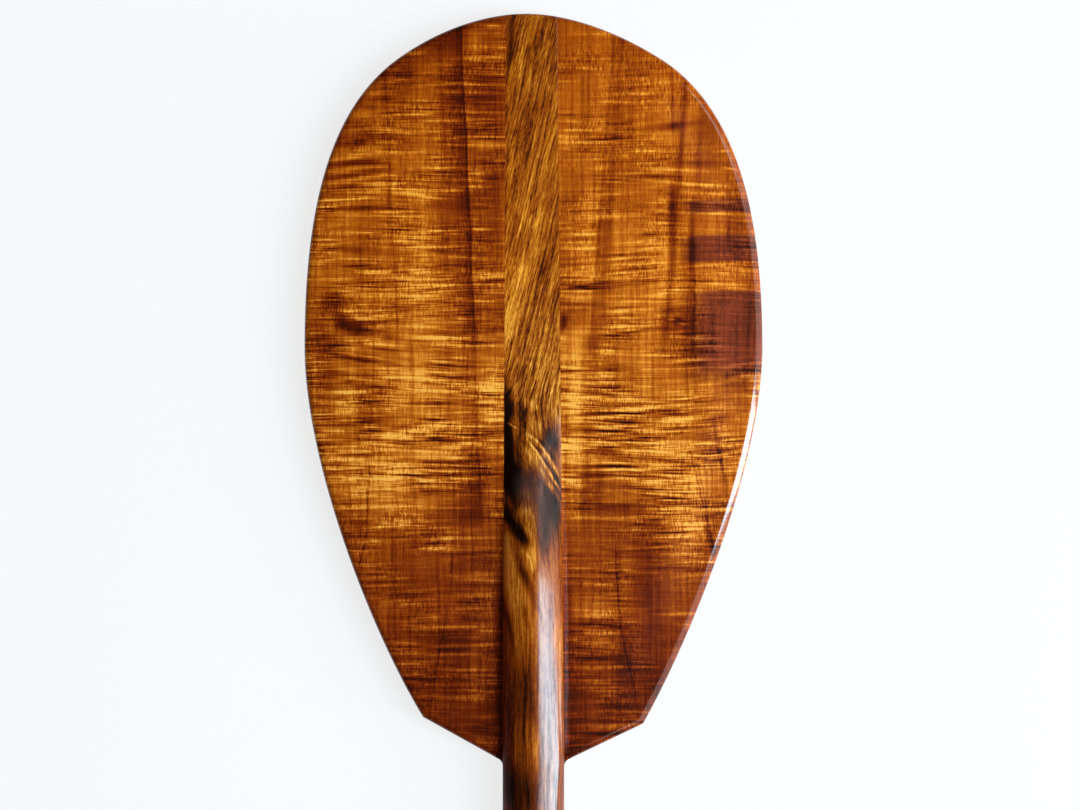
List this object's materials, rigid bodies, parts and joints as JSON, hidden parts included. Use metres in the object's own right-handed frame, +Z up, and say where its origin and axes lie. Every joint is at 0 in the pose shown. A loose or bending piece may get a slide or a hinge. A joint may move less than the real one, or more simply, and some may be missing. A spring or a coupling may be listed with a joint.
{
  "type": "outrigger canoe paddle",
  "caption": "Wooden outrigger canoe paddle: wide teardrop blade of figured boards glued to one stick that is both centre strip and oval shaft, with a T-shaped palm grip.",
  "frame": {"origin": "centre of the bounding box's base: the surface that the paddle lies on, under the shaft's axis and halfway along the paddle", "axes": "+Y along the shaft towards the blade's tip, +X across the blade to the right of its front face, +Z up, out of the blade's front face"},
  "size_m": [0.28, 1.27, 0.036],
  "materials": {
    "figured_wood": "curly reddish-gold hardwood under clear gloss",
    "stick_wood": "streaked olive-brown hardwood under clear gloss",
    "grip_wood": "brown hardwood under clear gloss",
    "tongue_wood": "bare, planed"
  },
  "bodies": {
    "root": {"shaft_and_centre_strip": "stick_wood", "left_blade_wing": "figured_wood", "right_blade_wing": "figured_wood", "left_joint_tongue": "tongue_wood", "right_joint_tongue": "tongue_wood", "palm_grip": "grip_wood"}
  },
  "joints": []
}
